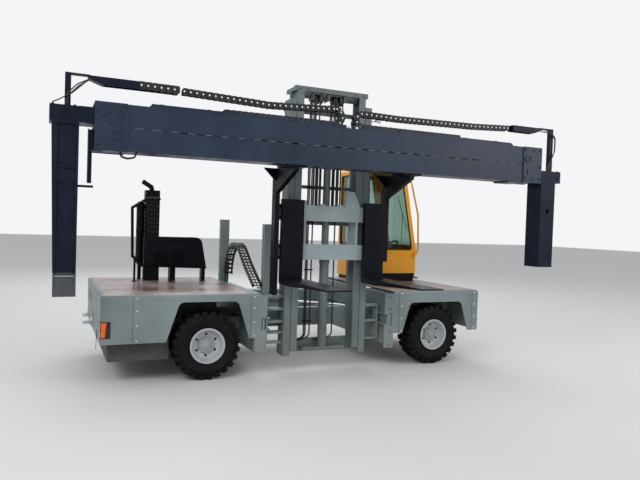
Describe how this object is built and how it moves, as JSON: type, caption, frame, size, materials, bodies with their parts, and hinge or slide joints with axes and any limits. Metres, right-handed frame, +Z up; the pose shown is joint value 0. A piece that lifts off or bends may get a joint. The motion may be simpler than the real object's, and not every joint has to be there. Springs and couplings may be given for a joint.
{
  "type": "side loader forklift with telescopic container frame",
  "caption": "Side loading forklift: a mast reaches out across a low truck with a cab, and its carriage carries forks and a telescopic frame for lifting containers.",
  "frame": {"origin": "on the ground, below the middle of the box that holds the whole machine as parked", "axes": "+X towards the cab end, +Y towards the cab side, away from the forks, +Z up"},
  "size_m": [6.558, 3.66, 3.665],
  "materials": {
    "frame_grey": "satin paint",
    "mast_grey": "satin paint",
    "spreader_slate": "satin paint",
    "black_paint": "satin paint",
    "cab_yellow": "gloss paint",
    "rim_silver": "satin paint",
    "deck_board": "film-faced plywood",
    "tyre_black": "solid rubber",
    "worn_steel": "bare steel",
    "rod_chrome": "polished",
    "tow_chrome": "plated",
    "cast_grey": "cast",
    "axle_black": "satin paint",
    "cab_glazing": "clear",
    "seat_cloth": "woven",
    "plastic_black": "moulded",
    "lamp_orange": "clear cover"
  },
  "bodies": {
    "chassis": {"main_frame": "frame_grey", "rear_body": "frame_grey", "front_body": "frame_grey", "decks": "deck_board", "counterweight": "cast_grey", "engine_block": "cast_grey", "rear_axle": "axle_black", "front_axle": "axle_black", "tow_coupling": "tow_chrome", "lamps": "lamp_orange", "exhaust": "black_paint", "air_cleaner": "black_paint", "engine_hood": "black_paint", "guard_rail": "black_paint", "grab_rail": "cab_yellow", "reach_chain": "plastic_black", "cab_floor": "black_paint", "cab_shell": "cab_yellow", "cab_glass": "cab_glazing", "cab_seat": "seat_cloth", "cab_controls": "plastic_black"},
    "reach": {"reach_frame": "frame_grey", "outer_mast": "mast_grey", "lift_barrels": "black_paint"},
    "reach_barrel": {"reach_cylinder": "black_paint"},
    "reach_piston": {"reach_rod": "rod_chrome"},
    "stage": {"inner_mast": "mast_grey", "lift_rods": "rod_chrome", "free_barrel": "black_paint", "rear_strands": "worn_steel"},
    "free_head": {"free_rod": "mast_grey"},
    "carriage": {"fork_carriage": "mast_grey", "forks": "worn_steel", "beam_columns": "black_paint", "frame_beam": "spreader_slate", "front_strands": "worn_steel"},
    "arm_left": {"arm_left": "spreader_slate", "leg_shoe": "rim_silver"},
    "arm_right": {"arm_right": "spreader_slate"},
    "run_left": {"chain_left": "plastic_black"},
    "run_right": {"chain_right": "plastic_black"},
    "knuckle_near": {"knuckle_near": "axle_black"},
    "knuckle_far": {"knuckle_far": "axle_black"},
    "door": {"cab_door": "cab_yellow", "door_glass": "cab_glazing"},
    "wheel_rear_near": {"tyre_rear_near": "tyre_black", "rim_rear_near": "rim_silver"},
    "wheel_rear_far": {"tyre_rear_far": "tyre_black", "rim_rear_far": "rim_silver"},
    "wheel_front_near": {"tyre_front_near": "tyre_black", "rim_front_near": "rim_silver"},
    "wheel_front_far": {"tyre_front_far": "tyre_black", "rim_front_far": "rim_silver"}
  },
  "joints": [
    {"name": "reach", "type": "slide", "parent": "chassis", "child": "reach", "axis": [0, 1, 0], "range_m": [-0.15, 1.3], "deforming": ["reach_chain"]},
    {"name": "reach_swing", "type": "hinge", "parent": "chassis", "child": "reach_barrel", "pos_m": [-0.62, 1.43, 0.775], "axis": [0, 0, 1], "range_deg": [-6.24, 46.4]},
    {"name": "reach_stroke", "type": "slide", "parent": "reach_barrel", "child": "reach_piston", "axis": [0.6849, -0.7287, 0], "range_m": [-0.585, 0.076]},
    {"name": "mast_lift", "type": "slide", "parent": "reach", "child": "stage", "axis": [0, 0, 1], "range_m": [0, 2.2]},
    {"name": "carriage_lift", "type": "slide", "parent": "stage", "child": "carriage", "axis": [0, 0, 1], "range_m": [-1, 1.05], "deforming": ["front_strands"]},
    {"name": "free_lift", "type": "slide", "parent": "stage", "child": "free_head", "axis": [0, 0, 1], "range_m": [-0.51, 0.535], "deforming": ["rear_strands"]},
    {"name": "arm_left_slide", "type": "slide", "parent": "carriage", "child": "arm_left", "axis": [-1, 0, 0], "range_m": [-0.06, 2.88]},
    {"name": "arm_right_slide", "type": "slide", "parent": "carriage", "child": "arm_right", "axis": [1, 0, 0], "range_m": [0, 3.05]},
    {"name": "run_left_slide", "type": "slide", "parent": "arm_left", "child": "run_left", "axis": [1, 0, 0], "range_m": [-0.04, 1.45]},
    {"name": "run_right_slide", "type": "slide", "parent": "arm_right", "child": "run_right", "axis": [-1, 0, 0], "range_m": [-0.01, 1.535]},
    {"name": "steer_near", "type": "hinge", "parent": "chassis", "child": "knuckle_near", "pos_m": [1.718, 0.015, 0.415], "axis": [0, 0, 1], "range_deg": [-30, 30]},
    {"name": "steer_far", "type": "hinge", "parent": "chassis", "child": "knuckle_far", "pos_m": [1.718, 1.385, 0.415], "axis": [0, 0, 1], "range_deg": [-30, 30]},
    {"name": "door_hinge", "type": "hinge", "parent": "chassis", "child": "door", "pos_m": [1.301, 1.818, 0], "axis": [0, 0, 1], "range_deg": [0, 80]},
    {"name": "spin_rear_near", "type": "hinge", "parent": "chassis", "child": "wheel_rear_near", "pos_m": [-1.498, -0.23, 0.415], "axis": [0, 1, 0], "continuous": true},
    {"name": "spin_rear_far", "type": "hinge", "parent": "chassis", "child": "wheel_rear_far", "pos_m": [-1.498, 1.63, 0.415], "axis": [0, 1, 0], "continuous": true},
    {"name": "spin_front_near", "type": "hinge", "parent": "knuckle_near", "child": "wheel_front_near", "pos_m": [1.718, -0.23, 0.415], "axis": [0, 1, 0], "continuous": true},
    {"name": "spin_front_far", "type": "hinge", "parent": "knuckle_far", "child": "wheel_front_far", "pos_m": [1.718, 1.63, 0.415], "axis": [0, 1, 0], "continuous": true}
  ],
  "couplings": [
    {"joint": "reach_swing", "follows": "reach", "rad_per_m": 0.60954},
    {"joint": "reach_stroke", "follows": "reach", "ratio": -0.44219},
    {"joint": "free_lift", "follows": "carriage_lift", "ratio": 0.5},
    {"joint": "run_left_slide", "follows": "arm_left_slide", "ratio": 0.5},
    {"joint": "run_right_slide", "follows": "arm_right_slide", "ratio": 0.5},
    {"joint": "steer_far", "follows": "steer_near", "ratio": 1}
  ]
}
